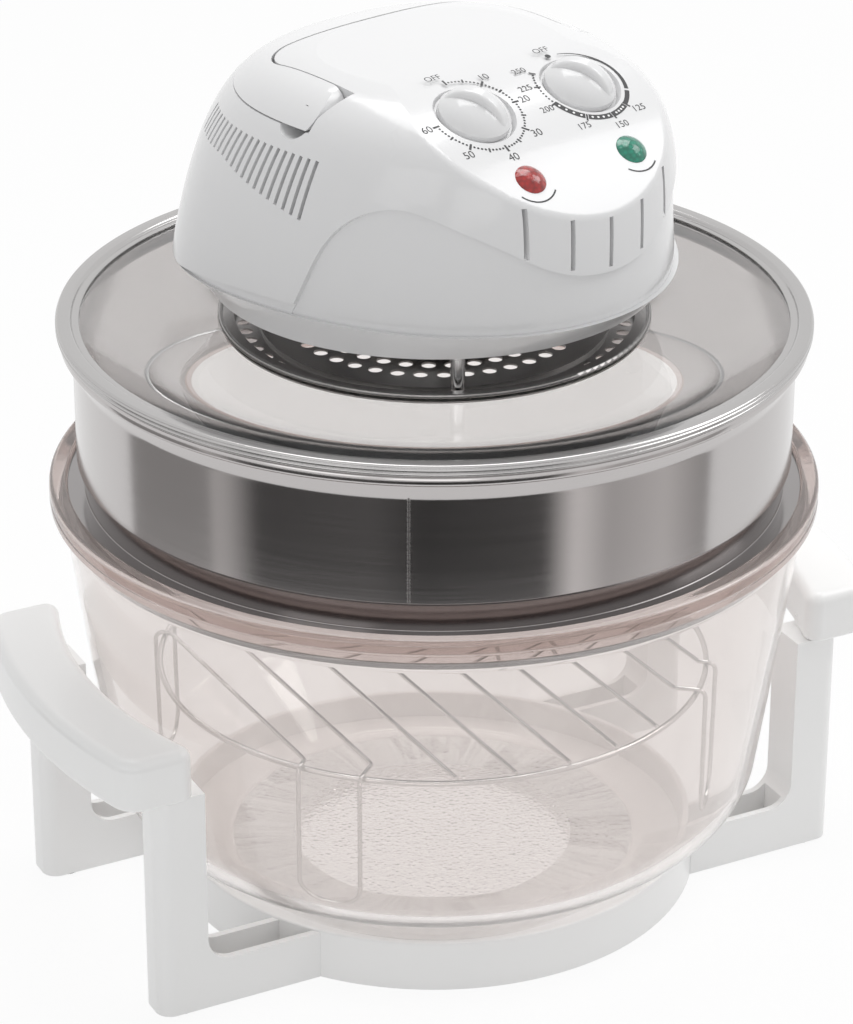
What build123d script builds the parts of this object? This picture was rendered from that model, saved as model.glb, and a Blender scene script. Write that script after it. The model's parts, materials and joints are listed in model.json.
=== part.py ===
"""Halogen oven: a glass bowl in a two-handled stand, a steel extension ring and a lift-off heater head.

Millimetres. The origin is on the bench under the bowl's axis, Z is up and the carrying grips lie on X.
The head is drawn with its control panel towards -Y and turned by head_turn when it is placed.
"""
import os
from math import acos, asin, cos, degrees, hypot, pi, radians, sin, tan

from build123d import *

os.makedirs("parts", exist_ok=True)

# ---- clearances ---------------------------------------------------------------------------------
running_gap = 0.05      # radial, shafts and pins in their bores
seat_gap = 0.3          # curved faces that lie next to each other
panel_gap = 0.6         # moulded parts that move past each other

# ---- stand --------------------------------------------------------------------------------------
pad_height = 1.5
pad_radius = 8
ring_radius = 117
ring_wall = 3.2
ring_top = 24.5
seat_height = 11        # where the bowl's foot stands
seat_web = 3
seat_inner_radius = 62
rib_count = 12
rib_width = 2.4
leg_spacing = 63        # from the X axis to the middle of a leg
leg_width = 20
leg_reach = 165
post_width = 22
arm_height = 23.5
arm_pocket_wall = 3
arm_pocket_depth = 13
leg_blend = 11
leg_round = 7
tab_thickness = 3
tab_length = 15
screw_radius = 2
screw_head_radius = 3.6
screw_head_height = 2.2
grip_bottom = 105
grip_thickness = 23
grip_reach = 190.5
grip_width = 30
grip_half_length = 76
grip_outer_curve = 245
grip_inner_curve = 200
grip_corner = 12
grip_inner_corner = 6
grip_top_round = 5
tenon_height = 5

# ---- bowl ---------------------------------------------------------------------------------------
glass_wall = 4.5
foot_radius = 94
knee_radius = 142
knee_height = 50
foot_round = 12
knee_round = 32
shoulder_radius = 159.6
shoulder_height = 178
rim_radius = 165
rim_top = 193
rim_depth = 9.5
rim_round = 2.5
rim_groove = 0.8
mouth_radius = 157.5
mouth_round = 0.8
ledge_depth = 3.5
ledge_width = 4

# ---- wire rack ----------------------------------------------------------------------------------
rack_height = 105
rack_radius = 119
rack_ring_wire = 1.3
rack_wire = 1.0
rack_turn = 0.8         # degrees, the wires against the Y axis
bar_offsets = (-0.4, -0.2, 0.0, 0.2, 0.4)
loop_offsets = ((-0.8, -0.61), (0.61, 0.8))
rack_leg_radius = 122.5
rack_leg_width = 27
rack_leg_angle = 48.5   # degrees, from the bars to the middle of a leg
rack_bend = 4

# ---- extension ring -----------------------------------------------------------------------------
sheet = 0.9
extender_height = 72.6
extender_radius = 152.8
extender_waist_radius = 149.4
extender_crease = 14.5
extender_flare = 12
bead_size = 4.8
bead_round = 1.8

# ---- lid ----------------------------------------------------------------------------------------
lid_glass_thickness = 4
lid_glass_radius = 152
lid_hole_radius = 86.6
band_height = 5
band_radius = 159.6
guard_rim_radius = 91.4
guard_pan_radius = 85.4
guard_pan_depth = 4.6
guard_plate_radius = 74
guard_plate_rise = 1.4
hole_radius = 3
hole_pitch = 9.6
outer_hole_row = 80.3
inner_hole_rows = (61, 51.5)
heat_slot_rows = (39, 27, 15)
heat_slot_count = 5
heat_slot_width = 5
post_count = 3
post_radius = 3

post_start = -123       # degrees, the first post
heat_slot_gap = 9
glass_edge = 0.8
glass_rise = 2.4        # the pane's top above the ring's bead
band_lip = 2.4
guard_sheet = 0.8
guard_roll = 2
clamp_thickness = 1.2

# ---- head ---------------------------------------------------------------------------------------
head_turn = 12.3
head_lift = 19.5        # from the lid glass to the underside of the head
base_radius = 95.6
parting_height = 32
dome_height = 119.4
flat_height = 118.6
head_side = 103
head_front = 109.5
head_back = 103.5
head_shift = 23.4          # how far behind the axis the head is widest, at its parting line
side_fall = (1.2, 0.16)    # how the dome closes in over its height, towards each side
front_fall = (5.6, 0.25)
back_fall = (2.06, 0.24)
dome_squareness = 0.25
dome_points = 24
dome_steps = (0.2, 0.4, 0.56, 0.69, 0.8, 0.89, 0.96, 1)
cover_wall = 3
housing_wall = 5.5
panel_radius = 166.6
panel_apex = (7.4, 124.6)
panel_end = 65             # degrees from the apex to the end of the panel's arc
panel_blend = 90
scoop_depth = 2.2
crease_height = 53
crease_rise = 30
crease_half_width = 66
groove_depth = 1.6
groove_height = 5
front_slot_count = 5
front_slot_pitch = 18.3
front_slot_length = 21
front_slot_width = 2
front_slot_depth = 3.5
vent_count = 20
vent_width = 1.7
vent_top = 95
vent_length = 24
vent_fade = 0.5           # share of its length a vent loses, reached at vent_fade_end of the row
vent_fade_end = 0.6
vent_start = -18
vent_step = 2.8
vent_tilt = 11            # degrees, the lower end of a vent lies further back
boss_radius = 4.5
screw_length = 10
panel_rounding = 5
switch_drop = 7
boss_place = (56, 62)

# ---- carrying handle ----------------------------------------------------------------------------
handle_inside = 60
handle_back = 42
handle_corner = 16
handle_swing = 0.7         # more room inside the crossbar, which swings forward as it rises
handle_bottom = 103.5
handle_end_radius = 8.6
handle_end_slope = 27   # degrees, the top of each arm behind its rounded end
handle_pivot = (-8, 108.3)
pivot_pin_radius = 2.5
plunger_radius = 1.8
plunger_place = (67, 30)
plunger_length = 10
pin_reach = 12
pin_seat = 6
switch_size = (6.4, 20, 10)
switch_post_share = 0.38   # of the switch's length, from its middle to each post
switch_post_half = 2

# ---- controls -----------------------------------------------------------------------------------
knob_line = -58
knob_spacing = 55.7
knob_radius = 15
knob_base = 2.5
knob_height = 11
knob_ridge = 7
dish_radius = 17.5
dish_depth = 3
dish_draft = 1.5
shaft_radius = 3
shaft_grip = 8
shaft_sink = 8
timer_pointer = 30      # degrees from straight up the panel to the OFF mark
thermostat_pointer = 30
timer_size = (32, 29, 24)
thermostat_size = (30, 28, 22)
control_boss_radius = 9
control_drop = 2        # from the inside of the curved panel to the flat top of a control
lens_line = -90.6
lens_spacing = 53.2
lens_radius = 6.7
lens_barrel_radius = 5.8
lens_barrel = 7
lens_dome = 2.6
lamp_holder_length = 14
lamp_holder_wall = 1.2

# ---- heater -------------------------------------------------------------------------------------
can_radius = 46
can_bottom = 2
can_top = 36
can_flange = 10
floor_height = 22.6
lamp_ring_radius = 33
lamp_tube_radius = 5
lamp_height = 9
lamp_arc = 290
cap_length = 13
cap_turn = 6
clip_angles = (-90, -25, 205)
clip_width = 6
fan_hub_radius = 6
fan_blades = 8
fan_radius = 28
fan_height = 18
fan_depth = 9
insulation_height = 4
insulation_inset = 7    # from the can's wall to the edge of the pad
cooling_fan_radius = 42
cooling_fan_depth = 6
motor_plate_height = 50
motor_plate_radius = 68
motor_radius = 23
motor_length = 26
motor_shaft_radius = 2.5
bore_share = 0.7        # of the motor's length, how far its bore reaches up
shaft_share = 0.65
pillar_radius = 3.5
pillar_count = 3
pillar_start = 30
terminal_place = 74
terminal_size = (40, 14, 12)
terminal_count = 4
terminal_pitch = 9
terminal_bore = 2.2
cutout_place = -66
cutout_steps = ((8, 5), (5, 9))   # radius and height of its base and its cap
gland_height = 44
gland_radius = 6
gland_wall = 2
gland_collar = 1.5
gland_reach = 3         # how far the bush stands out of the wall on either side

# ---- worked-out levels ----------------------------------------------------------------------------
extender_seat = rim_top - ledge_depth
extender_top = extender_seat + extender_height
lid_glass_top = extender_top + glass_rise
lid_glass_bottom = lid_glass_top - lid_glass_thickness


def lifted(height):
    """Height above the bench of a level counted from the top of the lid glass."""
    return lid_glass_top + height


# ---- helpers --------------------------------------------------------------------------------------
def outline(points):
    return make_face(Polyline(*points, close=True))


def revolved(face):
    """Turn a radius-height outline, drawn in XY, round the Z axis."""
    return revolve(Plane.XZ * face, axis=Axis.Z)


def bent_sheet(points, thickness):
    """Outline of a sheet whose right-hand face follows the points and whose other face is a mitred offset."""
    normals = []
    for (x0, y0), (x1, y1) in zip(points, points[1:]):
        length = hypot(x1 - x0, y1 - y0)
        normals.append(((y0 - y1) / length, (x1 - x0) / length))
    joins = [normals[0]]
    for (ax, ay), (bx, by) in zip(normals, normals[1:]):
        share = 1 + ax * bx + ay * by
        joins.append(((ax + bx) / share, (ay + by) / share))
    joins.append(normals[-1])
    offset_points = [(x + nx * thickness, y + ny * thickness) for (x, y), (nx, ny) in zip(points, joins)]
    return outline(list(points) + offset_points[::-1])


def rounded(face, places, radius):
    """Round the corners of a flat outline that lie nearest to the given places."""
    corners = []
    for place in places:
        corners.append(min(face.vertices(), key=lambda v: hypot(v.X - place[0], v.Y - place[1])))
    return fillet(corners, radius)


def disc(radius, bottom, top, place=(0, 0)):
    return Pos(place[0], place[1], (bottom + top) / 2) * Cylinder(radius, top - bottom)


def washer(outer, inner, bottom, top, place=(0, 0)):
    return disc(outer, bottom, top, place) - disc(inner, bottom - 1, top + 1, place)


def block(x0, x1, y0, y1, z0, z1):
    return Pos((x0 + x1) / 2, (y0 + y1) / 2, (z0 + z1) / 2) * Box(x1 - x0, y1 - y0, z1 - z0)


def on_axis(angle, radius):
    return radius * cos(radians(angle)), radius * sin(radians(angle))


def save(name, solids, turned=False):
    turn = Rot(0, 0, head_turn if turned else 0)
    placed = [turn * solid for solid in (solids if isinstance(solids, list) else [solids])]
    export_step(Compound(children=placed) if len(placed) > 1 else placed[0], f"parts/{name}.step")


# ---- stand ----------------------------------------------------------------------------------------
leg_corners = ((1, 1), (1, -1), (-1, 1), (-1, -1))
tab_middle = (ring_radius - ring_wall) * 0.775


def stand_ring():
    ring_inside = ring_radius - ring_wall
    wall = washer(ring_radius, ring_inside, pad_height, ring_top)
    lip = wall.edges().group_by(Axis.Z)[-1]
    wall = fillet(lip, ring_wall * 0.3)
    web = washer(ring_inside + ring_wall / 2, seat_inner_radius, seat_height - seat_web, seat_height)
    hub = washer(seat_inner_radius + ring_wall, seat_inner_radius, pad_height, seat_height)
    rib_start = seat_inner_radius + ring_wall / 2
    rib = block(rib_start, ring_inside + ring_wall / 2, -rib_width / 2, rib_width / 2,
                pad_height, seat_height - 1)
    ring = wall + web + hub
    for k in range(rib_count):
        ring += Rot(0, 0, (k + 0.5) * 360 / rib_count) * rib
    tab_half = leg_width / 2 - arm_pocket_wall + running_gap
    for sx, sy in leg_corners:
        notch = block(0, tab_middle + tab_length * 2, -tab_half, tab_half,
                      seat_height - seat_web - tab_thickness - running_gap, seat_height - seat_web)
        notch -= block(-1, tab_middle - tab_length, -tab_half - 1, tab_half + 1, 0, seat_height)
        hole = disc(screw_radius + running_gap, 0, seat_height - 0.5, (tab_middle, 0))
        ring -= Pos(0, sy * leg_spacing, 0) * mirrored(notch + hole, sx)
    return ring


def mirrored(shape, side):
    return shape if side > 0 else mirror(shape, about=Plane.YZ)


def leg(sx, sy):
    """An arm that runs out from under the ring and a post that carries the grip."""
    inner = ring_radius * 0.6
    post_inside = leg_reach - post_width
    side = outline([(inner, pad_height), (leg_reach, pad_height), (leg_reach, grip_bottom),
                    (post_inside, grip_bottom), (post_inside, arm_height), (inner, arm_height)])
    side = rounded(side, [(post_inside, arm_height)], leg_blend)
    body = extrude(Plane.XZ * side, leg_width / 2, both=True)
    ends = [e for e in body.edges().filter_by(Axis.Z) if e.center().X > leg_reach - 1]
    body = fillet(ends, leg_round)
    pocket_half = leg_width / 2 - arm_pocket_wall
    pocket = block(inner, post_inside - arm_pocket_wall, -pocket_half, pocket_half,
                   arm_height - arm_pocket_depth, arm_height + leg_blend)
    tenon = block(leg_reach - post_width * 0.6, leg_reach - 3, -pocket_half, pocket_half,
                  grip_bottom - 1, grip_bottom + tenon_height)
    pad_seat = disc(pad_radius + running_gap, 0, pad_height * 2, (leg_reach - post_width * 0.55, 0))
    body = body + tenon - pocket - pad_seat
    body -= Pos(0, -sy * leg_spacing, 0) * disc(ring_radius + running_gap, 0, grip_bottom)
    tab_top = seat_height - seat_web
    tab = block(tab_middle - tab_length / 2, ring_radius, -pocket_half, pocket_half,
                tab_top - tab_thickness, tab_top)
    tab -= disc(screw_radius + running_gap, 0, grip_bottom, (tab_middle, 0))
    body += tab
    return Pos(0, sy * leg_spacing, 0) * mirrored(body, sx)


def leg_screws():
    screws = []
    top = seat_height - seat_web - tab_thickness
    for sx, sy in leg_corners:
        place = (sx * tab_middle, sy * leg_spacing)
        screws.append(disc(screw_head_radius, top - screw_head_height, top, place)
                      + disc(screw_radius, top, seat_height - 1, place))
    return screws


def foot_pads():
    place = leg_reach - post_width * 0.55
    return [disc(pad_radius, 0, pad_height * 2, (sx * place, sy * leg_spacing)) for sx, sy in leg_corners]


def grip(side):
    """An arched bar with rounded ends that drops over the tenons of two posts."""
    half = grip_half_length
    outer_end = grip_reach - grip_outer_curve + (grip_outer_curve ** 2 - half ** 2) ** 0.5
    inside = grip_reach - grip_width
    inner_end = inside - grip_inner_curve + (grip_inner_curve ** 2 - half ** 2) ** 0.5
    edge = ThreePointArc((outer_end, -half), (grip_reach, 0), (outer_end, half))
    edge += Line((outer_end, half), (inner_end, half))
    edge += ThreePointArc((inner_end, half), (inside, 0), (inner_end, -half))
    edge += Line((inner_end, -half), (outer_end, -half))
    plan = rounded(make_face(edge), [(outer_end, half), (outer_end, -half)], grip_corner)
    plan = rounded(plan, [(inner_end, half), (inner_end, -half)], grip_inner_corner)
    bar = Pos(0, 0, grip_bottom) * extrude(plan, grip_thickness)
    bar = fillet(bar.edges().group_by(Axis.Z)[-1], grip_top_round)
    bar = fillet(bar.edges().group_by(Axis.Z)[0], grip_top_round / 3)
    for sy in (-1, 1):
        half = leg_width / 2 - arm_pocket_wall + running_gap
        bar -= block(leg_reach - post_width * 0.6 - running_gap, leg_reach - 3 + running_gap,
                     sy * leg_spacing - half, sy * leg_spacing + half,
                     grip_bottom - 1, grip_bottom + tenon_height + running_gap)
    return mirrored(bar, side)


# ---- bowl -----------------------------------------------------------------------------------------
cone_slope = (knee_height - seat_height) / (knee_radius - foot_radius)


def bowl_floor_height(radius):
    """Height of the bowl's inner face over the sloping ring between its foot and its knee."""
    return seat_height + (radius - foot_radius) * cone_slope + glass_wall * hypot(1, cone_slope)


def glass_bowl():
    wall = bent_sheet([(0, seat_height), (foot_radius, seat_height), (knee_radius, knee_height),
                       (shoulder_radius, shoulder_height)], glass_wall)
    inner_knee = (knee_radius - glass_wall, knee_height + glass_wall / 2)
    wall = rounded(wall, [(knee_radius, knee_height), inner_knee], knee_round)
    wall = rounded(wall, [(foot_radius, seat_height), (foot_radius, seat_height + glass_wall)], foot_round)
    rim_bottom = rim_top - rim_depth
    inner_radius = mouth_radius - ledge_width
    rim = outline([(shoulder_radius - glass_wall / 2, shoulder_height - glass_wall),
                   (shoulder_radius, shoulder_height), (rim_radius - 1, rim_bottom),
                   (rim_radius, rim_bottom + 1), (rim_radius, rim_top),
                   (mouth_radius, rim_top), (mouth_radius, extender_seat),
                   (inner_radius, extender_seat), (inner_radius, shoulder_height + 2)])
    rim = rounded(rim, [(rim_radius, rim_top)], rim_round)
    rim = rounded(rim, [(mouth_radius, rim_top)], mouth_round)
    groove = Pos(rim_radius, rim_bottom + rim_depth * 0.45) * Circle(rim_groove)
    return revolved(wall + rim - groove)


# ---- wire rack ------------------------------------------------------------------------------------
bar_height = rack_height + rack_ring_wire + rack_wire + running_gap


def rack_ring():
    return Pos(0, 0, rack_height) * Torus(rack_radius, rack_ring_wire)


def rack_bars():
    bars = []
    for share in bar_offsets:
        across = share * rack_radius
        length = 2 * (rack_radius ** 2 - across ** 2) ** 0.5
        bar = Rot(90, 0, 0) * Cylinder(rack_wire, length)
        bars.append(Rot(0, 0, rack_turn) * Pos(across, 0, bar_height) * bar)
    return bars


def rack_loop(shares):
    """A closed wire: two bars whose ends run out over the ring and down into a U-shaped leg at each end."""
    across = [share * rack_radius for share in shares]
    side_sign = 1 if across[0] > 0 else -1
    out_x, out_y = side_sign * sin(radians(rack_leg_angle)), cos(radians(rack_leg_angle))
    leg_reach_out = hypot(rack_leg_radius, rack_leg_width / 2) + rack_wire
    foot = bowl_floor_height(leg_reach_out) + rack_wire + seat_gap
    corners = []
    for end, order in ((1, (0, 1)), (-1, (1, 0))):
        for bar in order:
            side = rack_leg_width * (bar - 0.5)
            leg_x = out_x * rack_leg_radius + out_y * side
            leg_y = end * (out_y * rack_leg_radius - out_x * side)
            bar_y = leg_y - end * out_y * (leg_x - across[bar]) / out_x
            run = [(across[bar], bar_y, bar_height), (leg_x, leg_y, bar_height), (leg_x, leg_y, foot)]
            corners += run if bar == order[0] else run[::-1]
    path = FilletPolyline(*corners, radius=rack_bend, close=True)
    section = Plane(origin=path @ 0, z_dir=path % 0) * Circle(rack_wire)
    return Rot(0, 0, rack_turn) * sweep(section, path=path)


# ---- extension ring -------------------------------------------------------------------------------
def extension_ring():
    crease = extender_seat + extender_crease
    bead_middle = (extender_radius + 3.2, extender_top - bead_size / 2)
    skin = bent_sheet([(extender_waist_radius, extender_seat),
                       (extender_radius - 0.8, crease - 1), (extender_radius, crease),
                       (extender_radius, extender_top - extender_flare),
                       (bead_middle[0], bead_middle[1] + sheet)], sheet)
    flange = Pos((extender_waist_radius - sheet + mouth_radius - seat_gap) / 2, extender_seat + sheet / 2)
    flange *= Rectangle(mouth_radius - seat_gap - extender_waist_radius + sheet, sheet)
    bead = Pos(*bead_middle) * RectangleRounded(bead_size, bead_size, bead_round)
    return revolved(skin + flange + bead)


# ---- lid ------------------------------------------------------------------------------------------
def lid_glass():
    pane = washer(lid_glass_radius, lid_hole_radius, lid_glass_bottom, lid_glass_top)
    return fillet(pane.edges().group_by(Axis.Z)[-1], glass_edge)


def lid_band():
    """Rolled edge that rests on the extension ring and grips the rim of the pane."""
    wall_radius = lid_glass_radius + seat_gap
    crown = Pos((wall_radius + band_radius) / 2, extender_top + band_height / 2)
    crown *= RectangleRounded(band_radius - wall_radius, band_height, band_height * 0.35)
    hook = outline([(wall_radius, extender_top + band_height / 2), (wall_radius, lid_glass_bottom),
                    (lid_glass_radius - band_lip, lid_glass_bottom),
                    (lid_glass_radius - band_lip, lid_glass_bottom - sheet),
                    (wall_radius + sheet, lid_glass_bottom - sheet),
                    (wall_radius + sheet, extender_top + band_height / 2)])
    cap = Pos(lid_glass_radius - band_lip / 2 + 1, lid_glass_top + sheet / 2) * Rectangle(band_lip + 2, sheet)
    return revolved(crown + hook + cap)


post_step = round(2 * pi * outer_hole_row / hole_pitch / post_count)
post_places = [on_axis(post_start + k * 360 / post_count, outer_hole_row) for k in range(post_count)]


def hole_ring(radius, count, start, skip=0):
    """Round holes on a circle; with skip, every so many places stay closed for the posts."""
    places = [k for k in range(count) if not skip or k % skip]
    return [Pos(*on_axis(start + k * 360 / count, radius)) * Circle(hole_radius) for k in places]


def vent_guard():
    """Shallow perforated pan that hangs through the pane by its rolled rim."""
    pan_bottom = lifted(-guard_pan_depth)
    plate_bottom = pan_bottom + guard_plate_rise
    shoulder = guard_plate_radius - guard_sheet
    annulus = Circle(guard_pan_radius) - Circle(shoulder)
    annulus -= hole_ring(outer_hole_row, post_step * post_count, post_start, post_step)
    plate = Circle(guard_plate_radius)
    for number, row in enumerate(inner_hole_rows):
        count = round(2 * pi * row / hole_pitch)
        plate -= hole_ring(row, count, number * 180 / count)
    for row in heat_slot_rows:
        open_angle = 360 / heat_slot_count - degrees_of(heat_slot_gap, row)
        slot = SlotArc(CenterArc((0, 0), row, 0, open_angle), heat_slot_width)
        plate -= [Rot(0, 0, k * 360 / heat_slot_count) * slot for k in range(heat_slot_count)]
    guard = Pos(0, 0, pan_bottom) * extrude(annulus, guard_sheet)
    guard += Pos(0, 0, plate_bottom) * extrude(plate, guard_sheet)
    guard += washer(guard_plate_radius, shoulder, pan_bottom, plate_bottom + guard_sheet)
    guard += washer(guard_pan_radius, guard_pan_radius - guard_sheet, pan_bottom, lifted(guard_sheet))
    guard += washer(guard_rim_radius - 1, guard_pan_radius - guard_sheet, lifted(0), lifted(guard_sheet))
    roll = Pos(guard_rim_radius - guard_roll / 2, lifted(guard_roll / 2)) * RectangleRounded(
        guard_roll, guard_roll, guard_roll * 0.4)
    return guard + revolved(roll)


def degrees_of(length, radius):
    return length / radius * 180 / pi


def clamp_ring():
    return washer(guard_rim_radius - 1, guard_pan_radius + seat_gap, lid_glass_bottom - clamp_thickness,
                  lid_glass_bottom)


def head_posts():
    foot = lifted(-guard_pan_depth + guard_sheet)
    return [disc(post_radius, foot, lifted(head_lift), place) for place in post_places]


# ---- head mouldings -------------------------------------------------------------------------------
panel_thickness = cover_wall + dish_depth
dial_places = [(-knob_spacing / 2, knob_line), (knob_spacing / 2, knob_line)]
lens_places = [(-lens_spacing / 2, lens_line), (lens_spacing / 2, lens_line)]


def dome_section(height, inset):
    """Outline of the head at a height: an oval, widest behind its middle, that closes in towards the top."""
    rise = (height - parting_height) / (dome_height - parting_height)
    side, front, back = [reach * (1 - rise ** power) ** root - inset for reach, (power, root)
                         in ((head_side, side_fall), (head_front, front_fall), (head_back, back_fall))]
    middle = head_shift * (1 - rise)
    square = 2 + dome_squareness * rise ** 3
    points = []
    for k in range(dome_points):
        c, s = on_axis(k * 360 / dome_points, 1)
        depth = back - middle if s > 0 else front + middle
        reach = (abs(c / side) ** square + abs(s / depth) ** square) ** (-1 / square)
        points.append((c * reach, middle + s * reach))
    return Pos(0, 0, lifted(height)) * make_face(Spline(*points, periodic=True))


def dome(inset=0.0):
    """The head above its parting line, before its top face is cut."""
    top = (flat_height + dome_height) / 2
    rise = top - inset - parting_height
    return loft([dome_section(parting_height + rise * step, inset) for step in (0,) + dome_steps])


def panel_point(lean, radius):
    """Point of the panel's arc, as distance behind the axis and height, at an angle forward of its apex."""
    y, z = panel_apex
    return y - radius * sin(radians(lean)), z - panel_radius + radius * cos(radians(lean))


def above_panel(offset=0.0):
    """Room over the head's top face: level at the back, then falling in an arc to the front."""
    radius = panel_radius + offset
    level = flat_height + offset
    start = degrees(acos((level - panel_apex[1] + panel_radius) / radius))
    crease, front = panel_point(start, radius), panel_point(panel_end, radius)
    back = (head_back + 20, level)
    edge = ThreePointArc(front, panel_point((start + panel_end) / 2, radius), crease) + Line(crease, back)
    rest = Polyline(back, (back[0], level + 100), (front[0], level + 100), front)
    face = rounded(make_face(edge + rest), [crease], panel_blend)
    return Pos(0, 0, lifted(0)) * extrude(Plane.YZ * face, 200, both=True)


def panel_frame(place):
    """Plane that touches the panel's arc over a place in plan, with its Y axis up the slope."""
    x, y = place
    lean = degrees(asin((panel_apex[0] - y) / panel_radius))
    return Plane(origin=(x, y, lifted(panel_point(lean, panel_radius)[1])), x_dir=(1, 0, 0),
                 z_dir=(0, -sin(radians(lean)), cos(radians(lean))))


def handle_zone(gap, swing=0):
    """The U-shaped space round the back of the head's top that the folded handle fills, grown by a gap."""
    front = handle_pivot[0] - handle_end_radius
    back = handle_back - gap + swing
    plan = Pos(0, 100 + front - gap) * Rectangle(300, 200)
    core = Pos(0, (back - 100) / 2) * RectangleRounded(2 * (handle_inside - gap), back + 100, handle_corner)
    return Pos(0, 0, lifted(handle_bottom) - gap) * extrude(plan - core, 100)


def pivot_barrel(radius, reach=200):
    pivot_y, pivot_z = handle_pivot
    return Pos(0, pivot_y, lifted(pivot_z)) * Rot(0, 90, 0) * Cylinder(radius, reach)


def pivot_pocket(gap):
    """Room for the front end of each arm to turn up in, outside the plateau, grown by a gap."""
    pivot_y, pivot_z = handle_pivot
    reach = handle_end_radius + gap
    rise = 2 * handle_end_radius
    lean = rise * tan(radians(handle_end_slope))
    wedge = outline([(pivot_y - reach, 0), (pivot_y - reach - lean, rise), (pivot_y, rise), (pivot_y, 0)])
    wall = Pos(0, 0, lifted(pivot_z)) * extrude(Plane.YZ * wedge, 150, both=True)
    return pivot_barrel(reach, 300) + wall - Box(2 * (handle_inside - gap), 400, 1000)


def crease(x):
    """Height of the lower edge of the panel's skirt above the lid glass."""
    share = x / crease_half_width
    return crease_height + crease_rise * share ** 2


def scoop():
    """Sunk face under the panel's skirt: an arch, seen from the side, that runs round the front."""
    front = head_front + 20
    top = [(-front, crease_height - 5), (-head_front, crease_height),
           (-0.89 * head_front, crease_height + 14), (-0.76 * head_front, crease_height + 24),
           (-0.6 * head_front, crease_height + crease_rise), (-0.4 * head_front, crease_height + 20),
           (-0.27 * head_front, crease_height - 8), (-0.22 * head_front, parting_height)]
    arch = Spline(*top)
    rest = Polyline(top[-1], (-0.22 * head_front, parting_height - 5), (-front, parting_height - 5), top[0])
    face = make_face(arch + rest)
    return Pos(0, 0, lifted(0)) * extrude(Plane.YZ * face, 200, both=True)


def side_groove():
    """Finger groove over the parting line at both sides, deepest in its middle."""
    ends = (-0.8 * head_front, 0.45 * head_back)
    middle = -0.2 * head_front
    edge = ThreePointArc((ends[0], parting_height), (middle, parting_height + groove_height),
                         (ends[1], parting_height))
    face = make_face(edge + Line((ends[1], parting_height), (ends[0], parting_height)))
    return Pos(0, 0, lifted(0)) * extrude(Plane.YZ * face, 200, both=True)


def front_slots():
    slots = []
    for k in range(front_slot_count):
        x = (k - (front_slot_count - 1) / 2) * front_slot_pitch
        bottom = crease(x) + 2
        slots.append(block(x - front_slot_width / 2, x + front_slot_width / 2,
                           -head_front - 20, -head_front / 2,
                           lifted(bottom), lifted(bottom + front_slot_length)))
    return slots


def side_vents():
    vents = []
    for k in range(vent_count):
        angle = vent_start + k * vent_step
        length = vent_length * (1 - vent_fade * min(1, k / (vent_count * vent_fade_end)))
        bar = block(head_side * 0.5, head_side * 1.3, -vent_width / 2, vent_width / 2, -length, 0)
        for turn, tilt in ((angle, vent_tilt), (180 - angle, -vent_tilt)):
            vents.append(Pos(0, 0, lifted(vent_top)) * Rot(0, 0, turn) * Rot(tilt, 0, 0) * bar)
    return vents


def boss_places():
    x, y = boss_place
    return [(x, y), (-x, y), (x, -y), (-x, -y)]


def screw_boss(place, top):
    return disc(boss_radius, lifted(floor_height), top, place)


def inner_space():
    """The hollow of the upper cover, kept clear of the panel, the handle's recess and the screw bosses."""
    space = dome(housing_wall)
    space += Pos(0, 0, lifted(parting_height)) * extrude(dome_face_at_parting(housing_wall), -cover_wall)
    space -= above_panel(-panel_thickness)
    space -= handle_zone(panel_gap + cover_wall)
    space -= pivot_pocket(panel_gap + cover_wall)
    for place in boss_places():
        space -= screw_boss(place, lifted(dome_height))
    for place in dial_places:
        space -= panel_frame(place) * Cylinder(control_boss_radius, 2 * (panel_thickness + control_drop))
    return space


def dome_face_at_parting(inset):
    return Pos(0, 0, -lifted(parting_height)) * dome_section(parting_height, inset)


def upper_cover():
    shell = dome() - above_panel()
    shell = panel_round(shell)
    shell -= handle_zone(panel_gap)
    shell -= pivot_pocket(panel_gap)
    shell -= scoop() - dome(scoop_depth)
    shell -= side_groove() - dome(groove_depth)
    core = dome(front_slot_depth)
    shell -= [slot - core for slot in front_slots()]
    shell -= inner_space()
    shell -= side_vents()
    for place in dial_places:
        dish = Pos(0, 0, -dish_depth / 2) * Cone(dish_radius - dish_draft, dish_radius, dish_depth)
        shell -= panel_frame(place) * (dish + Cylinder(shaft_radius + seat_gap, 4 * panel_thickness))
    for place in lens_places:
        shell -= panel_frame(place) * Cylinder(lens_barrel_radius + running_gap, 4 * panel_thickness)
    shell -= pivot_barrel(pivot_pin_radius + running_gap, 2 * (handle_inside + pin_reach))
    shell -= disc(plunger_radius + running_gap, lifted(motor_plate_height), lifted(flat_height),
                  plunger_place)
    gland_bore = Rot(90, 0, 0) * Cylinder(gland_radius + running_gap, head_back)
    shell -= Pos(0, head_back, lifted(gland_height)) * gland_bore
    for place in boss_places():
        shell += screw_boss(place, lifted(parting_height + 1))
        shell -= disc(screw_radius, lifted(floor_height), lifted(floor_height + screw_length), place)
    shell += switch_posts()
    return shell


def panel_round(shell):
    """Round the edge between the head's cut top face and its side."""
    tops = [face for face in shell.faces() if face.geom_type in (GeomType.CYLINDER, GeomType.PLANE)
            and face.normal_at().Z > 0.1]
    edges = [edge for face in tops for edge in face.edges()]
    return fillet([edge for edge in edges if edges.count(edge) == 1], panel_rounding)


def switch_posts():
    width, length, height = switch_size
    x, y = plunger_place
    top = lifted(handle_bottom) - panel_gap - cover_wall + 1
    bottom = top - 1 - switch_drop
    posts = []
    for s in (-1, 1):
        middle = y + s * length * switch_post_share
        posts.append(block(x - width / 2, x + width / 2, middle - switch_post_half, middle + switch_post_half,
                           bottom, top))
    return posts


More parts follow.
